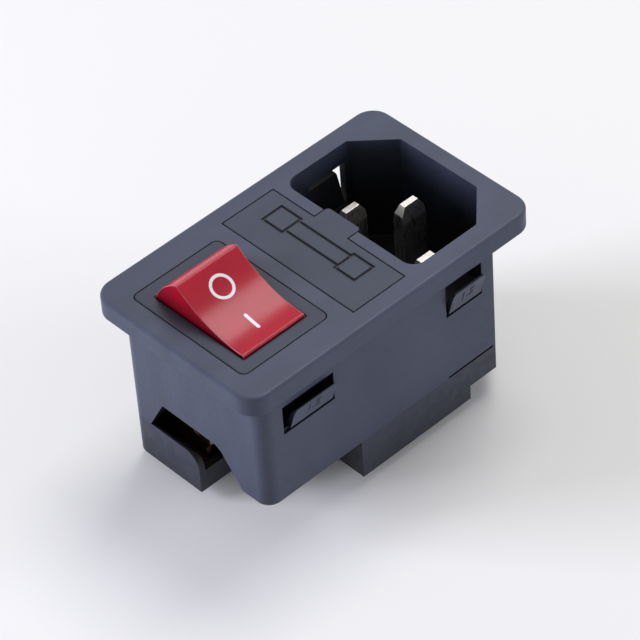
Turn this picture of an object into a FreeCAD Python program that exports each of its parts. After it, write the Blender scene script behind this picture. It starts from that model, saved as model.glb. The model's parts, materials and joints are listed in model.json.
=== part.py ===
import FreeCAD, Part
import math
import os

os.makedirs("parts", exist_ok=True)
V = FreeCAD.Vector

# Power entry module: appliance inlet, fuse drawer and lit rocker switch in one
# snap-in panel housing. All sizes are millimetres. The drawing frame has z = 0
# on the back of the flange, X along the flange with the inlet at +X, and Y
# across it. Everything is lifted at the end so that the ribs stand on z = 0.

# Flange and housing. The flange stands out past the body walls all round.
flange_long = 50.0
flange_wide = 30.0
flange_thick = 3.0
flange_corner = 3.0
flange_edge = 0.5
flange_lip = 1.9
seat_groove = 0.25
body_long = 46.0
body_shift = 0.8
body_left = body_shift - body_long / 2
body_right = body_shift + body_long / 2
body_half = flange_wide / 2 - flange_lip
body_deep = 18.9
wall_end = 1.4
wall_side = 1.1
corner_cut_x = 4.9
corner_cut_y = 5.7
corner_round = 2.0
notch_top = -body_deep + 5.2
notch_round = 2.5

# Inlet cavity and its three pins
inlet_wide = 16.5 / 46 * body_long
inlet_left = body_right - wall_end - inlet_wide
inlet_cut_x = 5.2
inlet_cut_y = 5.0
inlet_floor = -body_deep + 4.9
inlet_floor_thick = 2.0
pin_wide = 4.0
pin_thick = 2.0
pin_step = 4.0
pole_pin_x = inlet_left + inlet_wide / 2 - pin_step / 2 + 0.6
pole_pin_y = 7.0
pole_pin_tip = -2.7
earth_pin_x = pole_pin_x + pin_step
earth_pin_tip = 0.0
pin_bevel_long = 2.4
pin_bevel_side = 0.55
tail_half_x = 1.2
tail_half_y = 0.6

# Fuse drawer and the 5 x 20 mm fuse in it
drawer_wide = 8.9 / 46 * body_long
drawer_right = inlet_left - 1.8
drawer_left = drawer_right - drawer_wide
drawer_half = body_half - 1.0
drawer_gap = 0.15
drawer_face = 1.5
drawer_floor = inlet_floor - inlet_floor_thick + 3.1
tray_half = drawer_half - 0.5
tray_wall = 0.9
lip_near = -1.75
lip_far = 4.35
lip_reach = inlet_left + 0.7
fuse_x = (drawer_left + drawer_right) / 2
fuse_z = drawer_floor + 3.9
fuse_radius = 2.6
fuse_half = tray_half - 1.6
fuse_cap = 5.0
fuse_end_gap = 0.25
saddle_y = fuse_half - 3.4
glass_outer = 2.45
glass_inner = 1.9
mark_depth = 0.22
mark_line = 0.36

# Switch frame, rocker and terminals
bezel_half_x = 7.3 / 46 * body_long
bezel_half_y = body_half - 2.7
bezel_thick = 1.5
bezel_gap = 0.14
bezel_corner = 0.9
switch_x = body_left + bezel_half_x + 0.2
frame_half_x = bezel_half_x - 1.3
frame_half_y = bezel_half_y - 0.7
frame_under = -12.5
frame_floor_top = -10.1
window_half = frame_half_x - 0.6
axis_z = -0.3
rocker_half = window_half - 0.2
rocker_radius = frame_half_y - 0.9
rocker_gap = 0.18
rocker_foot = -2.3
rocker_wall = 1.3
rocker_dish = rocker_radius * 1.875
rocker_dish_mid = rocker_radius * 0.557
rocker_tilt = 20.0
pivot_radius = 1.3
pivot_gap = 0.05
pivot_long = 0.7
tube_outer = rocker_half / 3
tube_offset = rocker_half - tube_outer - 0.25
tube_bore = tube_outer - 0.55
tube_foot = -5.2
tube_head = rocker_dish_mid - 2.1
plunger_radius = tube_bore - 0.15
plunger_tip = -6.6
plunger_top = -3.4
coil_radius = tube_bore - 0.46
coil_wire = 0.17
coil_turns = 4
wire_sides = 6
lamp_radius = tube_offset - tube_outer - 0.15
lamp_half = rocker_radius * 0.41
lamp_z = 1.0
lamp_rib = 0.4
wire_radius = 0.16
tab_offset = frame_half_x - 1.8
tab_row = 3.5
tab_wide = 4.8
tab_thick = 0.8
tab_tip = -body_deep - 1.7
tab_cut_x = 1.0
tab_cut_z = 1.3
tab_hole = 0.95
tab_hole_up = 2.6
blade_low = tab_offset - 2.3
blade_high = tab_offset + 0.7
blade_half = rocker_radius - 2.5
blade_thick = 0.45
blade_seat = -7.5
blade_tilt = 7.0
contact_y = tab_row + 1.0
contact_radius = 1.0
contact_high = 0.4
contact_offset = tab_offset - 0.8

# Snap tongues. Those on the +Y side and their slots reach closer to the flange.
near_tongue_top = -3.8
far_tongue_top = -3.4
tongue_top_back = -2.3
tongue_root = -7.6
tongue_proud = 1.2
tongue_thick = 0.8
tongue_slope = 0.65
tongue_corner = 1.1
near_slot_top = -3.5
far_slot_top = -2.75
slot_top_back = -1.4
near_slot_x = switch_x + 0.5
near_slot_wide = 8.8
near_tongue_wide = 7.3
far_slot_x = body_right - 10.35
far_slot_wide = 6.5
far_tongue_wide = 5.8
near_tongue_x = near_slot_x + 0.4
far_tongue_x = far_slot_x + 0.1
fold_high = 0.4
fold_deep = 0.5

# Rear cover
cover_low = -body_deep - 4.1
cover_back = cover_low - 2.3
cover_step = inlet_left + 8.1
cover_wall = 1.2
hood_wall = 1.0
hood_bevel = 0.7
cover_end = drawer_left - 1.0
hood_near = 0.3
hood_round = 2.5
skirt_top = cover_back + 3.4
rib_back = cover_back - 1.6
rib_left = fuse_x - 1.95
rib_right = fuse_x + 3.35
rib_gap = 1.5
rib_wide = 1.95
window_left = body_right - 7.7
window_right = body_right - 1.7
window_half_y = 3.9
mark_x = body_right - 3.15
mark_y = 6.2

# Straps and earth tab
strap_thick = 0.8
strap_wide = 3.0
line_level = -body_deep - 1.7
neutral_level = -body_deep - 3.5
earth_tab_x = body_right - 3.7
earth_tab_tip = cover_low - 2.7
earth_tab_cut = 1.4
earth_tab_hole = 1.4

lift = -rib_back
parts = {}


def box(x0, x1, y0, y1, z0, z1):
    return Part.makeBox(x1 - x0, y1 - y0, z1 - z0, V(x0, y0, z0))


def rod(radius, x, y, z0, z1):
    return Part.makeCylinder(radius, z1 - z0, V(x, y, z0), V(0, 0, 1))


def rod_x(radius, x0, x1, y, z):
    return Part.makeCylinder(radius, x1 - x0, V(x0, y, z), V(1, 0, 0))


def rod_y(radius, y0, y1, x, z):
    return Part.makeCylinder(radius, y1 - y0, V(x, y0, z), V(0, 1, 0))


def rounded_wire(points, radii):
    """Closed wire through points, each corner rounded by its radius."""
    count = len(points)
    starts = []
    ends = []
    mids = []
    for i in range(count):
        here = V(*points[i])
        to_last = V(*points[i - 1]).sub(here)
        to_next = V(*points[(i + 1) % count]).sub(here)
        to_last.normalize()
        to_next.normalize()
        radius = radii[i]
        if radius <= 0:
            starts.append(here)
            ends.append(here)
            mids.append(None)
            continue
        half = to_last.getAngle(to_next) / 2
        reach = radius / math.tan(half)
        bisector = to_last.add(to_next)
        bisector.normalize()
        centre = here.add(bisector.multiply(radius / math.sin(half)))
        back = here.sub(centre)
        back.normalize()
        starts.append(here.add(V(to_last).multiply(reach)))
        ends.append(here.add(V(to_next).multiply(reach)))
        mids.append(centre.add(back.multiply(radius)))
    edges = []
    for i in range(count):
        if mids[i] is not None:
            edges.append(Part.Arc(starts[i], mids[i], ends[i]).toShape())
        following = starts[(i + 1) % count]
        if ends[i].distanceToPoint(following) > 1e-6:
            edges.append(Part.makeLine(ends[i], following))
    return Part.Wire(edges)


def slab(outline, radii, z0, z1):
    """Upright block from an XY outline."""
    points = [(x, y, z0) for x, y in outline]
    face = Part.Face(rounded_wire(points, radii))
    return face.extrude(V(0, 0, z1 - z0))


def plate(x, half_x, half_y, corner, z0, z1):
    """Upright block with four equal rounded corners, centred on x."""
    outline = [
        (x - half_x, -half_y),
        (x + half_x, -half_y),
        (x + half_x, half_y),
        (x - half_x, half_y),
    ]
    return slab(outline, [corner] * 4, z0, z1)


def bar(outline, x0, x1, radii=None):
    """Block along X from a YZ outline."""
    points = [(x0, y, z) for y, z in outline]
    if radii is None:
        radii = [0] * len(points)
    face = Part.Face(rounded_wire(points, radii))
    return face.extrude(V(x1 - x0, 0, 0))


def wall(outline, y0, y1, radii):
    """Block along Y from an XZ outline."""
    points = [(x, y0, z) for x, z in outline]
    face = Part.Face(rounded_wire(points, radii))
    return face.extrude(V(0, y1 - y0, 0))


def fuse_all(shapes):
    whole = shapes[0]
    if len(shapes) > 1:
        whole = whole.multiFuse(shapes[1:])
    return whole.removeSplitter()


def mirror_y(shape):
    return shape.mirror(V(0, 0, 0), V(0, 1, 0))


def pole_x(side, offset):
    return switch_x + side * offset


def pole_box(side, near, far, y0, y1, z0, z1):
    ends = sorted([pole_x(side, near), pole_x(side, far)])
    return box(ends[0], ends[1], y0, y1, z0, z1)


def body_outline(inset_left, inset_right, inset_side):
    """Plan outline of housing and cover, cut off at the inlet corners."""
    slope = 0.42 * inset_right
    left = body_left + inset_left
    right = body_right - inset_right
    half = body_half - inset_side
    cut_x = corner_cut_x - slope
    cut_y = corner_cut_y - slope
    return [
        (left, -half),
        (right - cut_x, -half),
        (right, -half + cut_y),
        (right, half - cut_y),
        (right - cut_x, half),
        (left, half),
    ]


def inlet_outline():
    left = inlet_left
    right = body_right - wall_end
    half = body_half - wall_side
    return [
        (left, -half),
        (right - inlet_cut_x, -half),
        (right, -half + inlet_cut_y),
        (right, half - inlet_cut_y),
        (right - inlet_cut_x, half),
        (left, half),
    ]


def tongue(centre, width, top):
    """Sprung tongue on the -Y side wall, hinged low and leaning out."""
    inner = body_half - wall_side
    tip = body_half + tongue_proud
    outline = [
        (-inner, tongue_root - 0.6),
        (-body_half, tongue_root - 0.6),
        (-body_half, tongue_root),
        (-tip, top),
        (-tip + tongue_thick, top - tongue_slope),
        (-inner - 0.2, tongue_root + 0.4),
    ]
    radii = [0, 0, 0, 0.15, 0.2, 0]
    left = centre - width / 2
    right = centre + width / 2
    solid = bar(outline, left, right, radii)
    front = [(left, tongue_root - 1), (right, tongue_root - 1), (right, top), (left, top)]
    return solid.common(wall(front, -tip - 1, 0, [0, 0, tongue_corner, tongue_corner]))


def tongue_pair(centre, width, top):
    return [tongue(centre, width, top), mirror_y(tongue(centre, width, tongue_top_back))]


def tongue_fold(centre, width):
    """Groove under the slot, where the tongue bends out of the wall."""
    solid = box(centre - width / 2, centre + width / 2, -body_half - 0.3, -body_half + fold_deep,
                tongue_root - fold_high, tongue_root)
    return [solid, mirror_y(solid)]


def tongue_slot(centre, width, front_top):
    inner = body_half - wall_side
    openings = []
    for side, top in ((-1, front_top), (1, slot_top_back)):
        outline = [
            (side * (body_half + 0.2), tongue_root),
            (side * (body_half + 0.2), top),
            (side * (inner - 0.2), top + 1.2),
            (side * (inner - 0.2), tongue_root),
        ]
        openings.append(bar(outline, centre - width / 2, centre + width / 2))
    return openings


def make_housing():
    half_long = flange_long / 2
    half_wide = flange_wide / 2
    corners = [
        (-half_long, -half_wide),
        (half_long, -half_wide),
        (half_long, half_wide),
        (-half_long, half_wide),
    ]
    flange = slab(corners, [flange_corner] * 4, 0, flange_thick)
    front = [e for e in flange.Edges if min(v.Z for v in e.Vertexes) > flange_thick - 1e-6]
    flange = flange.makeFillet(flange_edge, front)
    shroud = slab(body_outline(0, 0, 0), [corner_round, 0.4, 0.4, 0.4, 0.4, corner_round],
                  -body_deep, 0.2)
    solid = fuse_all([flange, shroud])

    half_in = body_half - wall_side
    left_in = body_left + wall_end
    right_in = body_right - wall_end
    floor_under = inlet_floor - inlet_floor_thick
    shaft_left = drawer_left - drawer_gap
    shaft_right = drawer_right + drawer_gap
    cuts = []
    # Switch bay under the flange, opening through it and bezel rebate
    bay = [(left_in, -half_in), (cover_end, -half_in), (cover_end, half_in), (left_in, half_in)]
    cuts.append(slab(bay, [1.0, 0, 0, 1.0], -body_deep - 1, 0))
    open_x = frame_half_x + 0.1
    open_y = frame_half_y + 0.1
    cuts.append(box(switch_x - open_x, switch_x + open_x, -open_y, open_y, -1, flange_thick + 1))
    edge_x = bezel_half_x + bezel_gap
    edge_y = bezel_half_y + bezel_gap
    cuts.append(plate(switch_x, edge_x, edge_y, bezel_corner + bezel_gap,
                      flange_thick - bezel_thick, flange_thick + 1))
    # Drawer shaft, its face rebate and the pry lip notch
    cuts.append(box(shaft_left, shaft_right, -tray_half - 0.2, tray_half + 0.2,
                    -body_deep - 1, flange_thick + 1))
    cuts.append(box(shaft_left, shaft_right, -drawer_half - drawer_gap, drawer_half + drawer_gap,
                    drawer_face, flange_thick + 1))
    cuts.append(box(shaft_right - 0.5, inlet_left + 0.5, lip_near - drawer_gap,
                    lip_far + drawer_gap, drawer_face, flange_thick + 1))
    # Inlet cavity and the space below its floor
    cuts.append(slab(inlet_outline(), [2.0, 0.6, 0.6, 0.6, 0.6, 2.0], inlet_floor,
                     flange_thick + 1))
    cuts.append(slab(body_outline(drawer_left - drawer_gap - body_left, wall_end, wall_side),
                     [0.5] * 6, -body_deep - 1, floor_under))
    # Pin slots
    for x, y in ((pole_pin_x, pole_pin_y), (pole_pin_x, -pole_pin_y), (earth_pin_x, 0)):
        cuts.append(box(x - pin_wide / 2, x + pin_wide / 2, y - pin_thick / 2, y + pin_thick / 2,
                        floor_under - 1, inlet_floor + 1))
    # Tongue openings
    cuts.extend(tongue_slot(near_slot_x, near_slot_wide, near_slot_top))
    cuts.extend(tongue_slot(far_slot_x, far_slot_wide, far_slot_top))
    # Notch in the end wall, square tool hole and shallow rim step
    notch = [
        (-body_half + 4.8, -body_deep - 0.01),
        (-body_half + 9.0, notch_top),
        (body_half - 6.6, notch_top),
        (body_half - 3.7, -body_deep - 0.01),
    ]
    cuts.append(bar(notch, body_left - 1, left_in + 0.2, [0, notch_round, 0.4, 0]))
    cuts.append(box(right_in - 0.2, body_right + 1, 0.4, 2.0, -body_deep - 1, -body_deep + 1.1))
    cuts.append(box(body_right - 13.6, body_right - 5.4, -body_half - 1, -body_half + 0.35,
                    -body_deep - 1, -body_deep + 0.35))
    # Groove round the seat of the flange
    groove = slab(body_outline(-0.4 - seat_groove, -0.4 - seat_groove, -0.4 - seat_groove),
                  [corner_round] + [0.4] * 4 + [corner_round], -0.5, 0.15)
    core = slab(body_outline(-0.4, -0.4, -0.4), [corner_round] + [0.4] * 4 + [corner_round],
                -1, 1)
    cuts.append(groove.cut(core))
    solid = solid.cut(cuts)
    solid = solid.multiFuse(tongue_pair(near_tongue_x, near_tongue_wide, near_tongue_top)
                            + tongue_pair(far_tongue_x, far_tongue_wide, far_tongue_top))
    solid = solid.cut(tongue_fold(near_slot_x, near_slot_wide)
                      + tongue_fold(far_slot_x, far_slot_wide))
    return solid.removeSplitter()


def make_cover():
    joint = -body_deep
    outline = body_outline(0, 0, 0)
    whole = slab(outline, [corner_round, 0.4, 0.4, 0.4, 0.4, corner_round], cover_back, joint)
    inner = body_outline(hood_wall, wall_end, wall_side)
    hollow = slab(inner, [1.0, 0.4, 0.4, 0.4, 0.4, 1.0], cover_back + 1.4, joint + 1)
    low = box(cover_step - cover_wall, body_right, -body_half, body_half,
              cover_back, cover_low + 1.4)
    hollow = hollow.cut(low)
    bay_wall = box(body_left, cover_end + cover_wall, -body_half, hood_near + cover_wall,
                   cover_back, joint + 1)
    hollow = hollow.cut(bay_wall)
    cuts = [hollow]
    cuts.append(box(cover_step, body_right + 1, -body_half - 1, body_half + 1,
                    cover_back - 1, cover_low))
    cuts.append(box(body_left - 1, cover_end, -body_half - 1, hood_near, cover_back - 1, joint + 1))
    cuts.append(box(body_left + hood_wall, cover_end, hood_near - 1, hood_near + cover_wall + 0.1,
                    skirt_top, joint + 1))
    cuts.append(box(window_left, window_right, -window_half_y, window_half_y,
                    cover_low - 1, cover_low + 3))
    # Engraved ringed earth sign and the letter L for the line side
    deep = cover_low + mark_depth
    ring = rod(1.5, mark_x, -mark_y, cover_low - 1, deep)
    cuts.append(ring.cut(rod(1.25, mark_x, -mark_y, cover_low - 2, deep + 1)))
    cuts.append(box(mark_x - 0.13, mark_x + 0.13, -mark_y, -mark_y + 1.1, cover_low - 1, deep))
    for row, reach in enumerate((0.95, 0.6, 0.28)):
        level = -mark_y - 0.4 * row
        cuts.append(box(mark_x - reach, mark_x + reach, level - 0.12, level + 0.12,
                        cover_low - 1, deep))
    foot_y = mark_y - 0.6
    cuts.append(box(mark_x - 0.25, mark_x + 1.65, foot_y, foot_y + 0.3, cover_low - 1, deep))
    cuts.append(box(mark_x - 0.25, mark_x + 0.05, foot_y, foot_y + 1.1, cover_low - 1, deep))
    # Rounded corner of the hood's end wall, bevelled inside along its top
    bevel = wall([(body_left + hood_wall - hood_bevel, joint + 0.01),
                  (body_left + hood_wall + 0.01, joint + 0.01),
                  (body_left + hood_wall + 0.01, joint - hood_bevel)],
                 hood_near - 1, body_half - wall_side - 2.6, [0, 0, 0])
    cuts.append(bevel)
    corner = box(body_left - 1, body_left + hood_wall, hood_near - 1, hood_near + hood_round,
                 joint - hood_round, joint + 1)
    round_top = rod_x(hood_round, body_left - 2, body_left + 3, hood_near + hood_round,
                      joint - hood_round)
    cuts.append(corner.cut(round_top))
    solid = whole.cut(cuts)
    extra = []
    for side in (1, -1):
        extra.append(rod(0.8, cover_step + 1.9, side * (body_half - 2.1), cover_low - 0.35,
                         cover_low + 0.2))
        base = sorted([side * rib_gap / 2 - 0.15, side * (rib_gap / 2 + rib_wide) - 0.15])
        outline = [
            (base[0] - 0.1, cover_back + 0.2),
            (base[0] + 0.12, rib_back),
            (base[1] - 0.12, rib_back),
            (base[1] + 0.1, cover_back + 0.2),
        ]
        extra.append(bar(outline, rib_left, rib_right, [0, 0.25, 0.25, 0]))
    solid = solid.multiFuse(extra)
    return solid.removeSplitter()


def make_pin(x, y, tip, tail_end):
    """Flat inlet pin with a bevelled tip and a narrow tail to rivet."""
    half_x = pin_wide / 2
    half_y = pin_thick / 2
    foot = inlet_floor - inlet_floor_thick
    blade = box(x - half_x, x + half_x, y - half_y, y + half_y, foot, tip)
    side = [
        (y - half_y - 1, tip - pin_bevel_long),
        (y - half_y, tip - pin_bevel_long),
        (y - half_y + pin_bevel_side, tip + 0.01),
        (y - half_y - 1, tip + 0.01),
    ]
    cutter = bar(side, x - half_x - 1, x + half_x + 1)
    other = cutter.mirror(V(0, y, 0), V(0, 1, 0))
    blade = blade.cut([cutter, other])
    end = [
        (x - half_x - 1, y - 3, tip - 1.2),
        (x - half_x, y - 3, tip - 1.2),
        (x - half_x + 0.8, y - 3, tip + 0.01),
        (x - half_x - 1, y - 3, tip + 0.01),
    ]
    face = Part.Face(rounded_wire(end, [0] * 4))
    cutter = face.extrude(V(0, 6, 0))
    other = cutter.mirror(V(x, 0, 0), V(1, 0, 0))
    blade = blade.cut([cutter, other])
    tail = box(x - tail_half_x, x + tail_half_x, y - tail_half_y, y + tail_half_y,
               tail_end, foot + 0.2)
    return fuse_all([blade, tail])


def make_earth_tab():
    top = inlet_floor - inlet_floor_thick
    half = tab_wide / 2
    foot = box(earth_pin_x - pin_wide / 2, earth_tab_x + tab_thick / 2, -half, half,
               top - strap_thick, top)
    foot = foot.cut(box(earth_pin_x - tail_half_x, earth_pin_x + tail_half_x,
                        -tail_half_y, tail_half_y, top - 2, top + 1))
    outline = [
        (-half, top),
        (-half, earth_tab_tip + earth_tab_cut),
        (-half + earth_tab_cut, earth_tab_tip),
        (half - earth_tab_cut, earth_tab_tip),
        (half, earth_tab_tip + earth_tab_cut),
        (half, top),
    ]
    tab = bar(outline, earth_tab_x - tab_thick / 2, earth_tab_x + tab_thick / 2)
    hole = rod_x(earth_tab_hole, earth_tab_x - 2, earth_tab_x + 2, 0, earth_tab_tip + 3.4)
    return fuse_all([foot, tab]).cut(hole)


def make_drawer():
    face = box(drawer_left, drawer_right, -drawer_half, drawer_half, drawer_face, flange_thick)
    lip = box(drawer_right - 0.5, lip_reach, lip_near, lip_far, drawer_face, flange_thick)
    outer = [e for e in lip.Edges
             if min(v.X for v in e.Vertexes) > lip_reach - 1e-6
             and abs(e.Vertexes[0].Z - e.Vertexes[1].Z) > 0.5]
    lip = lip.makeFillet(0.6, outer)
    tray = box(drawer_left, drawer_right, -tray_half, tray_half, drawer_floor, drawer_face + 0.1)
    pocket_left = drawer_left + tray_wall
    pocket_right = drawer_right - tray_wall
    pocket = box(pocket_left, pocket_right, -tray_half + 0.7, tray_half - 0.7,
                 drawer_floor - 1, drawer_face - 1.2)
    ends = box(pocket_left, pocket_right, -tray_half - 1, tray_half + 1,
               drawer_floor - 1, fuse_z + 4.0)
    tray = tray.cut([pocket, ends])
    saddles = []
    for middle in (-saddle_y, saddle_y):
        block = box(pocket_left - 0.1, pocket_right + 0.1, middle - 1.1, middle + 1.1,
                    drawer_floor, fuse_z - 0.6)
        saddles.append(block.cut(rod_y(fuse_radius, middle - 2, middle + 2, fuse_x, fuse_z)))
    stops = []
    for middle in (-saddle_y, saddle_y):
        stops.append(box(fuse_x - 0.6, fuse_x + 0.6, middle - 0.5, middle + 0.5,
                         fuse_z + fuse_radius, drawer_face))
    solid = fuse_all([face, lip, tray] + saddles + stops)
    # Engraved fuse sign: two end caps with the tube between them
    deep = flange_thick - mark_depth
    cuts = []
    left = fuse_x - 0.55
    right = fuse_x + 3.2
    line = mark_line
    for y0, y1 in ((5.1, 9.1), (-8.2, -4.3)):
        frame = box(left, right, y0, y1, deep, flange_thick + 1)
        core = box(left + line, right - line, y0 + line, y1 - line, deep - 1, flange_thick + 2)
        cuts.append(frame.cut(core))
    for x in (left + 0.7, right - 0.65):
        cuts.append(box(x - line / 2, x + line / 2, -4.4, 5.2, deep, flange_thick + 1))
    return solid.cut(cuts)


def make_fuse():
    tube = rod_y(glass_outer, -fuse_half + 0.5, fuse_half - 0.5, fuse_x, fuse_z)
    tube = tube.cut(rod_y(glass_inner, -fuse_half, fuse_half, fuse_x, fuse_z))
    parts["fuse_glass"] = tube
    parts["fuse_wire"] = rod_y(0.13, -fuse_half + 0.5, fuse_half - 0.5, fuse_x, fuse_z)
    cap = rod_y(fuse_radius, fuse_half - fuse_cap, fuse_half, fuse_x, fuse_z)
    cap = cap.cut(rod_y(glass_outer, fuse_half - fuse_cap - 1, fuse_half - 0.5, fuse_x, fuse_z))
    parts["fuse_cap_line"] = cap
    parts["fuse_cap_load"] = mirror_y(cap)


def make_line_contact():
    """Stamping from the line pin to the fuse end at +Y."""
    top = inlet_floor - inlet_floor_thick
    low = top - strap_thick
    y = fuse_half + fuse_end_gap
    left = fuse_x - strap_wide / 2
    right = fuse_x + strap_wide / 2
    near = pole_pin_y - 1.2
    pieces = [box(pole_pin_x - 2.4, pole_pin_x + 2.4, pole_pin_y - 1.7, pole_pin_y + 1.7, low, top)]
    pieces.append(box(left, pole_pin_x - 2.3, near, pole_pin_y + 1.2, low, top))
    pieces.append(box(left, right, near, y + 0.5, low, top))
    pieces.append(box(left, right, y, y + 0.5, low, fuse_z + 1.8))
    solid = fuse_all(pieces)
    slot = box(pole_pin_x - tail_half_x, pole_pin_x + tail_half_x,
               pole_pin_y - tail_half_y, pole_pin_y + tail_half_y, low - 1, top + 1)
    return solid.cut(slot)


def make_load_contact():
    """Stamping from the fuse end at -Y to the switched line terminal."""
    y = fuse_half + fuse_end_gap
    low = line_level - strap_thick
    half = strap_wide / 2
    left = fuse_x - half
    right = fuse_x + half
    end = pole_x(1, tab_offset)
    pieces = [box(left, right, -y - 0.5, -y, low, fuse_z + 1.8)]
    pieces.append(box(left, right, -y - 0.5, tab_row + half, low, line_level))
    pieces.append(box(end - 1.4, right, tab_row - half, tab_row + half, low, line_level))
    return fuse_all(pieces)


def make_neutral_strap():
    """Strap from the neutral pin to its switch terminal, one level lower."""
    tail = inlet_floor - inlet_floor_thick - 2.6
    low = neutral_level - strap_thick
    half = strap_wide / 2
    start = pole_pin_x - pin_wide / 2
    end = pole_x(-1, tab_offset)
    near = -pole_pin_y - half
    far = body_half - wall_side - 2.0
    cross = fuse_x - 1.2
    pieces = [box(start, window_left + 1.9, near, near + 4.3, tail - strap_thick, tail)]
    pieces.append(box(start, start + strap_thick, near, near + strap_wide, low, tail))
    pieces.append(box(cross, start + strap_thick, near, near + strap_wide, low, neutral_level))
    pieces.append(box(cross, cross + strap_wide, near, far, low, neutral_level))
    pieces.append(box(end - 0.8, cross + strap_wide, far - strap_wide, far, low, neutral_level))
    pieces.append(box(end - 0.8, end + half, tab_row - half, far, low, neutral_level))
    pieces.append(box(end - tab_thick / 2, end + tab_thick / 2, tab_row - half, tab_row + half,
                      low, tab_tip))
    return fuse_all(pieces)


def make_frame():
    """Switch frame: bezel, box body, barrier rib, gusset and snap lugs."""
    bezel = plate(switch_x, bezel_half_x, bezel_half_y, bezel_corner,
                  flange_thick - bezel_thick, flange_thick)
    body = box(switch_x - frame_half_x, switch_x + frame_half_x, -frame_half_y, frame_half_y,
               frame_under, flange_thick - bezel_thick + 0.1)
    solid = fuse_all([bezel, body])
    clear = rocker_radius + rocker_gap
    left = switch_x - window_half
    right = switch_x + window_half
    cuts = [rod_x(clear, left, right, 0, axis_z).common(
        box(left - 1, right + 1, -20, 20, axis_z, flange_thick + 1))]
    cuts.append(box(left, right, -clear, clear, frame_floor_top, axis_z + 0.01))
    cuts.append(rod_x(pivot_radius + pivot_gap, switch_x - 8, switch_x + 8, 0, axis_z))
    for side in (1, -1):
        for row in (tab_row, -tab_row):
            cuts.append(pole_box(side, tab_offset - tab_thick / 2, tab_offset + tab_thick / 2,
                                 row - tab_wide / 2, row + tab_wide / 2,
                                 frame_under - 1, frame_floor_top + 1))
    solid = solid.cut(cuts)
    root = frame_under + 0.3
    edge = -frame_half_y + 0.1
    barrier = [(1.5, root), (1.5, -body_deep - 0.1), (edge + 2.8, -body_deep - 0.1), (edge, root)]
    extra = [bar(barrier, switch_x - 0.6, switch_x + 0.6, [0, 0.5, 0.5, 0])]
    gusset = [(edge + 0.1, root), (edge + 3.2, root), (edge + 3.2, frame_under - 2.9)]
    extra.append(bar(gusset, switch_x - 2.7, switch_x - 1.9))
    lug = [(frame_half_y - 0.3, 0), (frame_half_y + 0.8, 0), (frame_half_y - 0.3, -2.8)]
    wedge = bar(lug, switch_x - 0.66 * frame_half_x, switch_x + 0.66 * frame_half_x)
    extra.extend([wedge, mirror_y(wedge)])
    return solid.multiFuse(extra).removeSplitter()


def make_terminal(side, row, tab_only_top):
    """Flat tab whose tip is cut back at the corners, with its wire hole."""
    half = tab_wide / 2
    outline = [
        (row - half, tab_only_top),
        (row - half, tab_tip + tab_cut_z),
        (row - half + tab_cut_x, tab_tip),
        (row + half - tab_cut_x, tab_tip),
        (row + half, tab_tip + tab_cut_z),
        (row + half, tab_only_top),
    ]
    ends = sorted([pole_x(side, tab_offset - tab_thick / 2),
                   pole_x(side, tab_offset + tab_thick / 2)])
    tab = bar(outline, ends[0], ends[1])
    return tab.cut(rod_x(tab_hole, ends[0] - 1, ends[1] + 1, row, tab_tip + tab_hole_up))


def make_out_terminal(side):
    tab = make_terminal(side, -tab_row, frame_floor_top)
    crest = blade_seat - 0.06
    head = [
        (-4.5, frame_floor_top - 0.1),
        (-4.5, crest - 1.05),
        (-0.3, crest),
        (0.3, crest),
        (0.8, crest - 0.5),
        (0.8, frame_floor_top - 0.1),
    ]
    ends = sorted([pole_x(side, tab_offset - tab_thick / 2),
                   pole_x(side, tab_offset + tab_thick / 2)])
    head = bar(head, ends[0], ends[1])
    floor = box(ends[0] - 1, ends[1] + 1, -1.1, 2, frame_under, frame_floor_top)
    return fuse_all([tab, head.cut(floor)])


def contact_top():
    drop = (contact_y + 0.4 * contact_radius) * math.tan(math.radians(blade_tilt))
    return blade_seat - drop - contact_high - 0.08


def make_in_terminal(side):
    flange_top = contact_top() - contact_high
    tab = make_terminal(side, tab_row, flange_top)
    pad = pole_box(side, contact_offset - 1.2, tab_offset + tab_thick / 2,
                   contact_y - 1.1, tab_row + tab_wide / 2, flange_top - 0.8, flange_top)
    return fuse_all([tab, pad])


def make_fixed_contact(side):
    top = contact_top()
    return rod(contact_radius, pole_x(side, contact_offset), contact_y, top - contact_high, top)


def make_moving_contact(side):
    x = pole_x(side, contact_offset)
    disc = rod(contact_radius, x, contact_y, blade_seat - contact_high, blade_seat)
    disc.rotate(V(0, 0, blade_seat), V(1, 0, 0), -blade_tilt)
    return disc


def make_blade(side):
    strip = pole_box(side, blade_low, blade_high, -blade_half, blade_half,
                     blade_seat, blade_seat + blade_thick)
    ends = [e for e in strip.Edges
            if abs(e.Vertexes[0].Z - e.Vertexes[1].Z) > 0.1]
    strip = strip.makeFillet(0.9, ends)
    strip.rotate(V(0, 0, blade_seat), V(1, 0, 0), -blade_tilt)
    return strip


def tilt_rocker(shape):
    """Place a shape drawn about the rocker axis in its resting tilt."""
    shape.rotate(V(0, 0, 0), V(1, 0, 0), rocker_tilt)
    shape.translate(V(0, 0, axis_z))
    return shape


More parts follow.
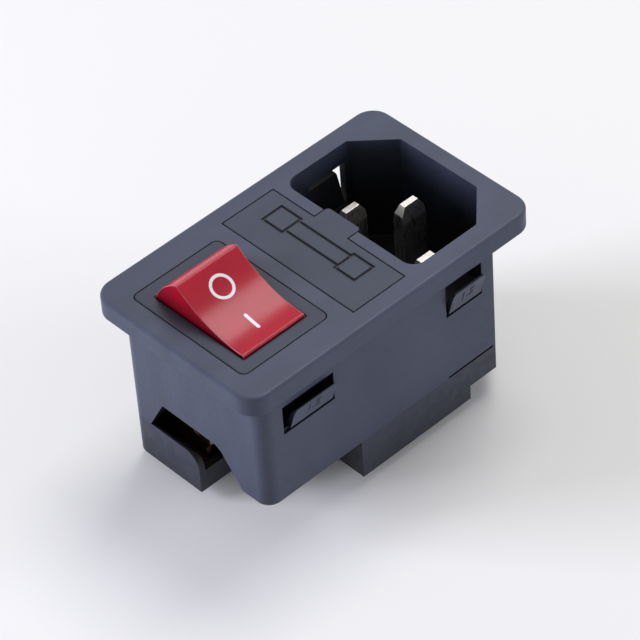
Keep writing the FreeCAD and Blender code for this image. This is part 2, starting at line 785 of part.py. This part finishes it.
def make_rocker():
    left = switch_x - rocker_half
    right = switch_x + rocker_half
    drum = rod_x(rocker_radius, left, right, 0, 0)
    dish_z = rocker_dish_mid + rocker_dish
    dish = rod_x(rocker_dish, left - 1, right + 1, 0, dish_z)
    below = box(left - 1, right + 1, -20, 20, -20, rocker_foot)
    paddle = drum.cut([dish, below])
    rims = [e for e in paddle.Edges
            if min(v.Z for v in e.Vertexes) > rocker_dish_mid + 0.5
            and abs(e.Vertexes[0].X - e.Vertexes[-1].X) > rocker_half]
    paddle = paddle.makeFillet(0.3, rims)
    inner_left = left + rocker_wall - 0.2
    inner_right = right - rocker_wall + 0.2
    core = rod_x(rocker_radius - rocker_wall, inner_left, inner_right, 0, 0)
    thick_dish = rod_x(rocker_dish + rocker_wall + 0.1, inner_left - 1, inner_right + 1, 0, dish_z)
    core = core.cut([thick_dish])
    shell = paddle.cut(core)
    extra = [rod_x(pivot_radius, left - pivot_long, left + 0.3, 0, 0)]
    extra.append(rod_x(pivot_radius, right - 0.3, right + pivot_long, 0, 0))
    for side in (1, -1):
        extra.append(rod(tube_outer, pole_x(side, tube_offset), 0, tube_foot,
                         rocker_dish_mid - 0.9))
    for side in (1, -1):
        middle = side * 0.72 * lamp_half
        rib_half = lamp_radius + 0.27
        extra.append(box(switch_x - rib_half, switch_x + rib_half,
                         middle - lamp_rib, middle + lamp_rib, lamp_z - lamp_radius - 0.6, rocker_dish_mid - 0.5))
    shell = shell.multiFuse(extra)
    bores = [rod_y(lamp_radius + 0.05, -lamp_half - 0.5, lamp_half + 0.5, switch_x, lamp_z)]
    for side in (1, -1):
        bores.append(rod(tube_bore, pole_x(side, tube_offset), 0, tube_foot - 1, tube_head))
        entry = sorted([0, side * (tube_outer + 1)])
        bores.append(rod_y(wire_radius + 0.05, entry[0], entry[1], pole_x(side, tube_offset),
                           lamp_z))
    return tilt_rocker(shell.cut(bores).removeSplitter())


def make_plunger(side):
    x = pole_x(side, tube_offset)
    stem = rod(plunger_radius, x, 0, plunger_tip + plunger_radius, plunger_top)
    dome = Part.makeSphere(plunger_radius, V(x, 0, plunger_tip + plunger_radius))
    return tilt_rocker(fuse_all([stem, dome]))


def make_spring(side):
    x = pole_x(side, tube_offset)
    low = plunger_top + coil_wire
    high = tube_head - coil_wire
    helix = Part.makeHelix((high - low) / coil_turns, high - low, coil_radius)
    start = helix.Edges[0].valueAt(helix.Edges[0].FirstParameter)
    along = helix.Edges[0].tangentAt(helix.Edges[0].FirstParameter)
    outward = V(start.x, start.y, 0)
    outward.normalize()
    across = outward.cross(along)
    points = []
    for i in range(wire_sides + 1):
        angle = 2 * math.pi * (i + 0.5) / wire_sides
        out = V(outward).multiply(coil_wire * math.cos(angle))
        points.append(start.add(out).add(V(across).multiply(coil_wire * math.sin(angle))))
    coil = helix.makePipeShell([Part.makePolygon(points)], True, True)
    coil.translate(V(x, 0, low))
    return tilt_rocker(coil)


def wire_path(points):
    pieces = []
    for i in range(len(points) - 1):
        first = V(*points[i])
        run = V(*points[i + 1]).sub(first)
        pieces.append(Part.makeCylinder(wire_radius, run.Length, first, run))
        if i > 0:
            pieces.append(Part.makeSphere(wire_radius, first))
    return tilt_rocker(fuse_all(pieces))


def make_lamp():
    glass = rod_y(lamp_radius, -lamp_half, lamp_half, switch_x, lamp_z)
    rims = [e for e in glass.Edges if len(e.Vertexes) == 1]
    parts["neon_lamp"] = tilt_rocker(glass.makeChamfer(0.4, rims))
    bend = lamp_half + 1.0
    gap = coil_radius + coil_wire
    left = pole_x(-1, tube_offset)
    right = pole_x(1, tube_offset)
    parts["lamp_lead_neutral"] = wire_path([
        (switch_x, -lamp_half, lamp_z), (switch_x, -bend, lamp_z),
        (left, -bend, lamp_z), (left, -gap, lamp_z)])
    parts["lamp_lead_line"] = wire_path([
        (switch_x, lamp_half, lamp_z), (switch_x, bend, lamp_z),
        (switch_x + 0.7, bend, lamp_z)])
    parts["resistor_lead"] = wire_path([
        (right - 0.6, bend, lamp_z), (right, bend, lamp_z), (right, gap, lamp_z)])
    resistor = rod_x(0.65, switch_x + 0.7, right - 0.6, bend, lamp_z)
    rims = [e for e in resistor.Edges if len(e.Vertexes) == 1]
    parts["lamp_resistor"] = tilt_rocker(resistor.makeChamfer(0.15, rims))


tail = inlet_floor - inlet_floor_thick
parts["housing"] = make_housing()
parts["rear_cover"] = make_cover()
parts["line_pin"] = make_pin(pole_pin_x, pole_pin_y, pole_pin_tip, tail - 1.1)
parts["neutral_pin"] = make_pin(pole_pin_x, -pole_pin_y, pole_pin_tip, tail - 2.6)
parts["earth_pin"] = make_pin(earth_pin_x, 0, earth_pin_tip, tail - 1.1)
parts["earth_tab"] = make_earth_tab()
parts["fuse_drawer"] = make_drawer()
make_fuse()
parts["line_contact"] = make_line_contact()
parts["load_contact"] = make_load_contact()
parts["neutral_strap"] = make_neutral_strap()
parts["switch_frame"] = make_frame()
parts["rocker"] = make_rocker()
for side, name in ((1, "line"), (-1, "neutral")):
    parts[name + "_in_terminal"] = make_in_terminal(side)
    parts[name + "_out_terminal"] = make_out_terminal(side)
    parts[name + "_fixed_contact"] = make_fixed_contact(side)
    parts[name + "_moving_contact"] = make_moving_contact(side)
    parts[name + "_blade"] = make_blade(side)
    parts[name + "_plunger"] = make_plunger(side)
    parts[name + "_spring"] = make_spring(side)
make_lamp()

for name, shape in parts.items():
    if len(shape.Solids) == 1:
        shape = shape.Solids[0]
    shape.translate(V(0, 0, lift))
    print(name, len(shape.Solids), round(shape.Volume, 2), shape.isValid())
    shape.exportStep("parts/" + name + ".step")
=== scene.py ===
import math
import bmesh
import bpy
from mathutils import Matrix, Vector
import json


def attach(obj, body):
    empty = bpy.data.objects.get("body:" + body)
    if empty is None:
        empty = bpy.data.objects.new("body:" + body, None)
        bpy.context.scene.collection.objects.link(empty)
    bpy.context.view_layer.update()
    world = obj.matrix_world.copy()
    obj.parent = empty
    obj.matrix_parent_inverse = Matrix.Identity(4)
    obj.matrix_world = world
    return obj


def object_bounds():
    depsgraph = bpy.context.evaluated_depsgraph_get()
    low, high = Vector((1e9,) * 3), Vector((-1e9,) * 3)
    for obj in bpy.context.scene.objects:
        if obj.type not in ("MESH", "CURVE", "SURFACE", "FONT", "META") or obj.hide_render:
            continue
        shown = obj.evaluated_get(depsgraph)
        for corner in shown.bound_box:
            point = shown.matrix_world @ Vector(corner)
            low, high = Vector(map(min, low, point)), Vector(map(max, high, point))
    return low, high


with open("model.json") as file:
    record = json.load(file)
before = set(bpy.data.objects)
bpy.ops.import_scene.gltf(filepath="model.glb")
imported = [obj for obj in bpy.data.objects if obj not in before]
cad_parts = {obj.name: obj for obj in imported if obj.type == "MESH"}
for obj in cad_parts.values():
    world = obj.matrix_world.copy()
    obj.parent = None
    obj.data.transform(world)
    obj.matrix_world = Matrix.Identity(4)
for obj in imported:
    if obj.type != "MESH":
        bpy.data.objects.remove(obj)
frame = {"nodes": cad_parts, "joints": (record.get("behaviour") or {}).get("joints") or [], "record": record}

# Looks of the power entry module. Lengths are metres; mm turns the part's own
# millimetres into them. The part stands on its rear ribs at z = 0, with its
# front up, the switch towards -X and the appliance inlet towards +X.

mm = 0.001
low, high = [Vector(corner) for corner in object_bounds()]
centre = (low + high) / 2
joints = {joint["name"]: joint for joint in frame["joints"]}
mounts = {mount["name"]: mount for mount in frame["record"]["mounts"]}

# The rocker: its pivot, its tilt at rest, half its travel, and the hollow of its top.
rocker_pivot = Vector(joints["rocker_hinge"]["pos_m"])
rocker_tilt = math.radians(joints["rocker_hinge"]["range_deg"][1]) / 2
dish_radius = 16.5 * mm
dish_mid = 4.9 * mm

# Its legends: the print stands a hair above the dish, the ring's foot below it.
legend_lift = 0.025 * mm
legend_foot = -0.03 * mm
ring_middle = 3.12 * mm
ring_radius = 1.74 * mm
ring_width = 0.42 * mm
ring_steps = 56
bar_x = -0.3 * mm
bar_near = -4.3 * mm
bar_far = -1.4 * mm
bar_half = 0.24 * mm
bar_least = 0.02 * mm
bar_steps = 14

# The snap tongues: where they leave the wall and how far their tips lean out.
panel_z = mounts["panel_seat"]["pos_m"][2]
wall_y = 13.1 * mm
tongue_root_depth = 7.6 * mm
tongue_proud = 1.2 * mm
switch_tongue_x = -13.8 * mm
inlet_tongue_x = 13.55 * mm
switch_tip_depth = 3.8 * mm
inlet_tip_depth = 3.4 * mm
back_tip_depth = 2.3 * mm
mark_size = 2.1 * mm
mark_height = 0.07 * mm

# The solder bead at the load contact: an uneven drop.
bead_centre = Vector((17.2, -4.9, 7.55)) * mm
bead_radii = Vector((0.9, 0.75, 0.55)) * mm
bead_unevenness = 0.08

shell_colour = (0.053, 0.063, 0.098, 1)
cover_colour = (0.028, 0.032, 0.054, 1)
rocker_colour = (0.9, 0.004, 0.04, 1)
# The pale pink of the rocker's painted edge highlight.
rocker_edge_highlight = (0.92, 0.5, 0.53, 1)
legend_colour = (0.95, 0.86, 0.86, 1)
nickel_colour = (0.78, 0.75, 0.71, 1)
brass_colour = (0.5, 0.37, 0.18, 1)
copper_colour = (0.42, 0.25, 0.14, 1)
solder_colour = (0.62, 0.62, 0.62, 1)
silver_colour = (0.8, 0.8, 0.78, 1)
steel_colour = (0.5, 0.5, 0.5, 1)
glass_colour = (0.95, 0.97, 0.97, 1)
ceramic_colour = (0.5, 0.36, 0.2, 1)

# The studio. floor_bounce is the floor's colour for the light that it throws back.
floor_colour = (0.94, 0.925, 0.88, 1)
floor_bounce = (0.4, 0.4, 0.42, 1)
floor_size = 6
sky_colour = (0.96, 0.98, 1.0, 1)
ambient = 0.27
white_lamp = (1, 1, 1)
cool_lamp = (0.8, 0.82, 1.0)
view_from = Vector((-223.7, -260.0, 343.2)) * mm
view_roll = math.radians(-4.4)
lens_mm = 205
sensor_mm = 36


def shade(colour, factor):
    return tuple(c * factor for c in colour[:3]) + (1,)


class Finish:
    """A material's node tree with short ways to add what the finishes share.

    Noise scales are features per metre: 1000 makes features about 1 mm wide.
    """

    def __init__(self, name, colour, roughness, metallic=0.0):
        self.material = bpy.data.materials.new(name)
        self.material.use_nodes = True
        self.tree = self.material.node_tree
        self.shader = self.tree.nodes["Principled BSDF"]
        self.constant("Base Color", colour)
        self.constant("Roughness", roughness)
        self.constant("Metallic", metallic)
        self.place = self.tree.nodes.new("ShaderNodeTexCoord").outputs["Object"]
        self.normal = None

    def constant(self, key, value):
        self.shader.inputs[key].default_value = value

    def set(self, key, socket):
        self.tree.links.new(socket, self.shader.inputs[key])

    def feed(self, socket, value):
        """Links a node's output to the socket, or writes a plain value on it."""
        if isinstance(value, bpy.types.NodeSocket):
            self.tree.links.new(value, socket)
        else:
            socket.default_value = value

    def add(self, kind, **inputs):
        node = self.tree.nodes.new("ShaderNode" + kind)
        for key, value in inputs.items():
            self.feed(node.inputs[key.replace("_", " ")], value)
        return node

    def stretched(self, scale):
        return self.add("Mapping", Vector=self.place, Scale=scale).outputs[0]

    def noise(self, scale, detail=3.0, place=None):
        node = self.add("TexNoise", Vector=place or self.place, Scale=scale, Detail=detail)
        return node.outputs[0]

    def ramp(self, socket, first, second, low_stop=0.35, high_stop=0.65):
        node = self.add("ValToRGB", Fac=socket)
        stops = node.color_ramp.elements
        for stop, position, colour in zip(stops, (low_stop, high_stop), (first, second)):
            stop.position = position
            stop.color = colour
        return node.outputs[0]

    def grey_ramp(self, socket, first, second, low_stop=0.35, high_stop=0.65):
        greys = [(value,) * 3 + (1,) for value in (first, second)]
        return self.ramp(socket, *greys, low_stop, high_stop)

    def math(self, operation, first, second=0.0):
        node = self.add("Math")
        node.operation = operation
        self.feed(node.inputs[0], first)
        self.feed(node.inputs[1], second)
        return node.outputs[0]

    def mix(self, factor, first, second, blend="MIX"):
        """Mixes two colours; a Mix node's colour sockets are numbers 6 and 7."""
        node = self.add("Mix")
        node.data_type = "RGBA"
        node.blend_type = blend
        self.feed(node.inputs[0], factor)
        self.feed(node.inputs[6], first)
        self.feed(node.inputs[7], second)
        return node.outputs[2]

    def bump(self, height, depth, strength=1.0):
        """Adds relief on top of the relief so far; depth is in metres."""
        node = self.add("Bump", Height=height, Distance=depth, Strength=strength)
        if self.normal is not None:
            self.tree.links.new(self.normal, node.inputs["Normal"])
        self.normal = node.outputs[0]
        self.set("Normal", self.normal)

    def soft_edges(self, radius):
        """Rounds the shading over edges; returns a mask that is 1 along them."""
        self.normal = self.add("Bevel", Radius=radius).outputs[0]
        self.set("Normal", self.normal)
        compare = self.add("VectorMath")
        compare.operation = "DOT_PRODUCT"
        self.feed(compare.inputs[0], self.normal)
        self.feed(compare.inputs[1], self.add("NewGeometry").outputs["Normal"])
        return self.grey_ramp(compare.outputs["Value"], 1.0, 0.0, 0.78, 0.96)

    def painted_hollow_shade(self, colour, reach, darkest, open_from=0.86):
        """Paints shade into a colour where the surface lies deep between others, from ambient occlusion."""
        hollow = self.add("AmbientOcclusion", Distance=reach)
        hollow.samples = 8
        open_share = self.grey_ramp(hollow.outputs["AO"], darkest, 1.0, 0.4, open_from)
        return self.mix(1.0, colour, open_share, "MULTIPLY")

    def level_faces(self):
        """1 on faces that lie square to the part's Z, 0 elsewhere."""
        facing = self.add("TexCoord").outputs["Normal"]
        upward = self.add("SeparateXYZ", Vector=facing).outputs["Z"]
        return self.math("GREATER_THAN", self.math("ABSOLUTE", upward), 0.9)


def moulded(name, colour, grain, depth, roughness, joint=0.0):
    """Spark-textured moulded nylon: flow marks, rubbed edges with a painted highlight, dust, fine scuffs and
    painted shade in hollows.

    A piece let into another has a joint: how far in from its front edges shade is painted along the joint.
    """
    finish = Finish(name, colour, roughness)
    finish.constant("Specular IOR Level", 0.38)
    edges = finish.soft_edges(joint or 0.16 * mm)
    flow = finish.noise(90, 4, finish.stretched((1, 2.2, 0.7)))
    base = finish.ramp(flow, shade(colour, 0.9), shade(colour, 1.12))
    if joint:
        # Painted shade along the joint: level faces darken near the front edges.
        joint_shade = finish.math("MULTIPLY", edges, finish.level_faces())
        base = finish.mix(joint_shade, base, shade(colour, 0.12))
    else:
        # Lighter edges: rubbed wear in patches, together with a painted highlight along them.
        wear_and_highlight_patches = finish.grey_ramp(finish.noise(1300, 5), 0.2, 1.0, 0.4, 0.62)
        rubbed_and_highlit = finish.math("MULTIPLY", edges, wear_and_highlight_patches)
        base = finish.mix(rubbed_and_highlit, base, shade(colour, 1.9))
    dust = finish.grey_ramp(finish.noise(2600, 2), 0.0, 0.5, 0.7, 0.78)
    base = finish.mix(dust, base, shade(colour, 1.55))
    # Painted shade: the colour darkens in hollows and close under other surfaces.
    finish.set("Base Color", finish.painted_hollow_shade(base, 18 * mm, 0.05))
    scuff = finish.noise(1500, 4, finish.stretched((0.6, 1.3, 1)))
    finish.set("Roughness", finish.grey_ramp(scuff, roughness - 0.03, roughness + 0.05))
    finish.bump(finish.noise(grain, 2), depth)
    finish.bump(finish.noise(260, 2), 0.003 * mm, 0.6)
    return finish.material


def lined(name, colour):
    """The rear cover: coarser grain with fine machined lines on its flat back."""
    finish = Finish(name, colour, 0.5)
    finish.soft_edges(0.12 * mm)
    cloud = finish.noise(160, 4)
    base = finish.ramp(cloud, shade(colour, 0.93), shade(colour, 1.1))
    # Painted shade: the colour darkens in hollows.
    finish.set("Base Color", finish.painted_hollow_shade(base, 14 * mm, 0.05))
    finish.set("Roughness", finish.grey_ramp(finish.noise(700, 4), 0.42, 0.58))
    finish.bump(finish.noise(5200, 2), 0.02 * mm)
    lines = finish.add("TexWave", Vector=finish.place, Scale=520, Distortion=0.6,
                       Detail=2, Detail_Scale=3)
    lines.bands_direction = "X"
    on_flats = finish.math("MULTIPLY", lines.outputs[1], finish.level_faces())
    finish.bump(on_flats, 0.012 * mm, 0.6)
    return finish.material


def metal(name, colour, roughness, brushed=(1, 1, 0.06), tarnish=0.8, darkest_hollow_shade=0.5):
    """Plated or bare sheet metal with faint rolling lines, slight tarnish and painted shade in hollows."""
    finish = Finish(name, colour, roughness, 1.0)
    finish.soft_edges(0.1 * mm)
    cloud = finish.noise(260, 5)
    base = finish.ramp(cloud, shade(colour, tarnish), colour, 0.3, 0.6)
    # Painted shade: the colour darkens in hollows.
    finish.set("Base Color", finish.painted_hollow_shade(base, 6 * mm, darkest_hollow_shade))
    streak = finish.noise(3800, 2, finish.stretched(brushed))
    finish.set("Roughness", finish.grey_ramp(streak, roughness - 0.03, roughness + 0.06))
    finish.bump(streak, 0.0006 * mm, 0.4)
    return finish.material


def translucent_red():
    """Polished red polycarbonate that lets some light through, with a painted pale highlight at its edges
    and painted shade in its hollows.
    """
    finish = Finish("rocker_red", rocker_colour, 0.2)
    edges = finish.soft_edges(0.2 * mm)
    finish.constant("Transmission Weight", 0.48)
    finish.constant("IOR", 1.5)
    finish.constant("Specular IOR Level", 0.2)
    flow = finish.noise(240, 3, finish.stretched((0.5, 1, 1)))
    base = finish.ramp(flow, shade(rocker_colour, 0.86), rocker_colour)
    # Painted shade: the red darkens in hollows.
    base = finish.painted_hollow_shade(base, 9 * mm, 0.08, 0.95)
    # Painted highlight: the edges take a pale pink.
    finish.set("Base Color", finish.mix(edges, base, rocker_edge_highlight))
    smear = finish.noise(1400, 4)
    finish.set("Roughness", finish.grey_ramp(smear, 0.2, 0.25, 0.35, 0.7))
    finish.bump(finish.noise(1500, 2), 0.006 * mm)
    return finish.material


def clear(name, tint):
    """Drawn glass tube, slightly wavy."""
    finish = Finish(name, tint, 0.04)
    finish.constant("Transmission Weight", 1.0)
    finish.constant("IOR", 1.47)
    finish.bump(finish.noise(700, 2), 0.004 * mm)
    return finish.material


def plain(name, colour, roughness):
    """Lacquer or print: one colour with uneven gloss and a faint grain."""
    finish = Finish(name, colour, roughness)
    gloss = finish.noise(900, 3)
    finish.set("Roughness", finish.grey_ramp(gloss, roughness, roughness + 0.12))
    finish.bump(finish.noise(3600, 2), 0.006 * mm)
    return finish.material


shell = moulded("shell_nylon", shell_colour, 6400, 0.016 * mm, 0.44)
drawer = moulded("drawer_nylon", shade(shell_colour, 0.76), 6400, 0.016 * mm, 0.42,
                 0.32 * mm)
bezel = moulded("frame_nylon", shade(shell_colour, 0.68), 7200, 0.01 * mm, 0.38,
                0.4 * mm)
cover = lined("cover_nylon", cover_colour)
red = translucent_red()
nickel = metal("nickel", nickel_colour, 0.3)
brass = metal("brass", brass_colour, 0.3, (0.06, 1, 1), 0.72, 0.2)
copper = metal("copper", copper_colour, 0.32, (0.06, 1, 1), 0.7, 0.2)
solder = metal("solder", solder_colour, 0.3, (1, 1, 1), 0.85)
silver = metal("silver", silver_colour, 0.22)
steel = metal("spring_steel", steel_colour, 0.25)
tinned = metal("tinned_wire", solder_colour, 0.3)
glass = clear("clear_glass", glass_colour)
ceramic = plain("resistor_body", ceramic_colour, 0.35)
print_white = plain("legend_white", legend_colour, 0.35)

finishes = {
    "housing": shell,
    "rear_cover": cover,
    "fuse_drawer": drawer,
    "switch_frame": bezel,
    "rocker": red,
    "line_pin": nickel,
    "neutral_pin": nickel,
    "earth_pin": nickel,
    "earth_tab": nickel,
    "line_contact": brass,
    "load_contact": copper,
    "neutral_strap": copper,
    "fuse_glass": glass,
    "fuse_wire": tinned,
    "fuse_cap_line": nickel,
    "fuse_cap_load": nickel,
    "neon_lamp": glass,
    "lamp_lead_neutral": tinned,
    "lamp_lead_line": tinned,
    "resistor_lead": tinned,
    "lamp_resistor": ceramic,
}
for pole in ("line", "neutral"):
    finishes[pole + "_in_terminal"] = brass
    finishes[pole + "_out_terminal"] = nickel
    finishes[pole + "_fixed_contact"] = silver
    finishes[pole + "_moving_contact"] = silver
    finishes[pole + "_blade"] = copper
    finishes[pole + "_plunger"] = brass
    finishes[pole + "_spring"] = steel


def dress(thing, material):
    thing.data.materials.clear()
    thing.data.materials.append(material)


for node, material in finishes.items():
    dress(frame["nodes"][node], material)


def in_scene(name, data):
    thing = bpy.data.objects.new(name, data)
    bpy.context.scene.collection.objects.link(thing)
    return thing


def piece(name, mesh, material, body):
    """A dressed object that a CAD body carries."""
    thing = in_scene(name, mesh)
    dress(thing, material)
    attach(thing, body)
    return thing


def built(name, build):
    """A mesh that build(bm) makes."""
    mesh = bpy.data.meshes.new(name)
    bm = bmesh.new()
    build(bm)
    bmesh.ops.recalc_face_normals(bm, faces=bm.faces)
    bm.to_mesh(mesh)
    bm.free()
    return mesh


def on_dish(x, y, lift):
    """A point on the rocker's hollow top: x along the axis, y across it."""
    z = dish_mid + dish_radius - math.sqrt(dish_radius ** 2 - y ** 2) + lift
    return rocker_pivot + Matrix.Rotation(rocker_tilt, 3, "X") @ Vector((x, y, z))


def off_ring(bm):
    """The O: a raised band that follows the dish, with its foot sunk into it."""
    rims = {}
    for level, lift in (("foot", legend_foot), ("top", legend_lift)):
        for rim, reach in (("inner", ring_radius - ring_width), ("outer", ring_radius)):
            row = rims[level, rim] = []
            for i in range(ring_steps):
                angle = 2 * math.pi * i / ring_steps
                x = reach * math.cos(angle)
                y = ring_middle + reach * math.sin(angle)
                row.append(bm.verts.new(on_dish(x, y, lift)))
    foot_in, foot_out = rims["foot", "inner"], rims["foot", "outer"]
    top_in, top_out = rims["top", "inner"], rims["top", "outer"]
    for i in range(ring_steps):
        j = (i + 1) % ring_steps
        bm.faces.new((top_in[i], top_in[j], top_out[j], top_out[i]))
        bm.faces.new((top_out[i], top_out[j], foot_out[j], foot_out[i]))
        bm.faces.new((top_in[j], top_in[i], foot_in[i], foot_in[j]))


def on_bar(bm):
    """The I: a thin round-ended strip of print that follows the dish."""
    left = []
    right = []
    for i in range(bar_steps + 1):
        y = bar_near + (bar_far - bar_near) * i / bar_steps
        from_end = min(y - bar_near, bar_far - y)
        inside = max(0.0, 1 - from_end / bar_half)
        half = max(bar_half * math.sqrt(max(0.0, 1 - inside ** 2)), bar_least)
        left.append(bm.verts.new(on_dish(bar_x - half, y, legend_lift)))
        right.append(bm.verts.new(on_dish(bar_x + half, y, legend_lift)))
    for i in range(bar_steps):
        bm.faces.new((left[i], right[i], right[i + 1], left[i + 1]))


piece("legend_off_ring", built("legend_off_ring", off_ring), print_white, "rocker_unit")
piece("legend_on_bar", built("legend_on_bar", on_bar), print_white, "rocker_unit")


def panel_mark(name, x, side, tip_depth):
    """Raised 1.5 on the leaning face of a snap tongue: the panel thickness it suits."""
    text = bpy.data.curves.new(name, "FONT")
    text.body = "1.5"
    text.size = mark_size
    text.extrude = mark_height
    text.align_x = "CENTER"
    text.align_y = "CENTER"
    made = in_scene(name, text)
    root = Vector((x, side * wall_y, panel_z - tongue_root_depth))
    tip = Vector((x, side * (wall_y + tongue_proud), panel_z - tip_depth))
    up = (tip - root).normalized()
    right = Vector((-side, 0, 0))
    out = right.cross(up)
    turn = Matrix((right, up, out)).transposed().to_4x4()
    made.matrix_world = Matrix.Translation((root + tip) / 2) @ turn
    bpy.context.view_layer.update()
    solid = made.evaluated_get(bpy.context.evaluated_depsgraph_get())
    mesh = bpy.data.meshes.new_from_object(solid)
    mesh.transform(made.matrix_world)
    bpy.data.objects.remove(made)
    piece(name, mesh, shell, "module")


tongues = ((switch_tongue_x, switch_tip_depth), (inlet_tongue_x, inlet_tip_depth))
for index, (x, tip_depth) in enumerate(tongues):
    panel_mark("panel_mark_near_%d" % index, x, -1, tip_depth)
    panel_mark("panel_mark_far_%d" % index, x, 1, back_tip_depth)


def solder_bead(bm):
    bmesh.ops.create_uvsphere(bm, u_segments=28, v_segments=16, radius=1.0)
    for vertex in bm.verts:
        x, y, z = vertex.co
        swell = 1 + bead_unevenness * math.sin(3 * x + 2 * y)
        vertex.co = bead_centre + Vector((x * swell, y * swell, -z)) * bead_radii


bead = piece("solder_bead", built("solder_bead", solder_bead), solder, "module")
for face in bead.data.polygons:
    face.use_smooth = True


def backdrop():
    """A pale floor that throws little light back up onto the part."""
    bpy.ops.mesh.primitive_plane_add(size=floor_size, location=(0, 0, 0))
    floor = bpy.context.object
    floor.name = "studio_floor"
    finish = Finish("studio_floor", floor_colour, 0.7)
    bounced = finish.add("LightPath").outputs["Is Diffuse Ray"]
    finish.set("Base Color", finish.mix(bounced, floor_colour, floor_bounce))
    dress(floor, finish.material)


def surroundings():
    """A dim even sky for soft light, which is plain white where it is seen,
    mirrored or looked at through glass."""
    world = bpy.data.worlds.new("studio")
    bpy.context.scene.world = world
    world.use_nodes = True
    nodes = world.node_tree.nodes
    links = world.node_tree.links
    sky = nodes["Background"]
    sky.inputs["Color"].default_value = sky_colour
    sky.inputs["Strength"].default_value = ambient
    white = nodes.new("ShaderNodeBackground")
    white.inputs["Color"].default_value = (1, 1, 1, 1)
    white.inputs["Strength"].default_value = 1.0
    path = nodes.new("ShaderNodeLightPath")
    seen = path.outputs["Is Camera Ray"]
    for ray in ("Is Glossy Ray", "Is Transmission Ray"):
        either = nodes.new("ShaderNodeMath")
        either.operation = "MAXIMUM"
        links.new(seen, either.inputs[0])
        links.new(path.outputs[ray], either.inputs[1])
        seen = either.outputs[0]
    mix = nodes.new("ShaderNodeMixShader")
    links.new(seen, mix.inputs[0])
    links.new(sky.outputs[0], mix.inputs[1])
    links.new(white.outputs[0], mix.inputs[2])
    links.new(mix.outputs[0], nodes["World Output"].inputs["Surface"])


def softbox(name, direction, distance, size, power, colour, mirrored):
    """A rectangular lamp that faces the part; glossy faces may leave it out."""
    lamp = bpy.data.lights.new(name, "AREA")
    lamp.shape = "RECTANGLE"
    lamp.size, lamp.size_y = size
    lamp.energy = power
    lamp.color = colour
    thing = in_scene(name, lamp)
    thing.visible_glossy = mirrored
    aim = Vector(direction).normalized()
    thing.location = centre + aim * distance
    thing.rotation_euler = aim.to_track_quat("Z", "Y").to_euler()


def lamps():
    softbox("key", (0.42, 0.1, 0.9), 0.6, (0.3, 0.3), 1.45, white_lamp, True)
    softbox("left_fill", (-1.0, 0.8, 0.36), 0.6, (0.24, 0.4), 4.7, cool_lamp, False)
    softbox("front_fill", (0.85, -1.0, 0.36), 0.7, (0.4, 0.2), 2.4, cool_lamp, False)


def camera():
    """The photograph's view of the front: direction, distance and slight roll."""
    lens = bpy.data.cameras.new("camera")
    lens.lens = lens_mm
    lens.sensor_width = sensor_mm
    lens.clip_start = 10 * mm
    thing = in_scene("camera", lens)
    aim = (view_from - centre).normalized()
    turn = aim.to_track_quat("Z", "Y").to_matrix() @ Matrix.Rotation(view_roll, 3, "Z")
    thing.matrix_world = Matrix.Translation(view_from) @ turn.to_4x4()
    bpy.context.scene.camera = thing


backdrop()
surroundings()
lamps()
camera()
bpy.context.scene.view_settings.view_transform = "Standard"
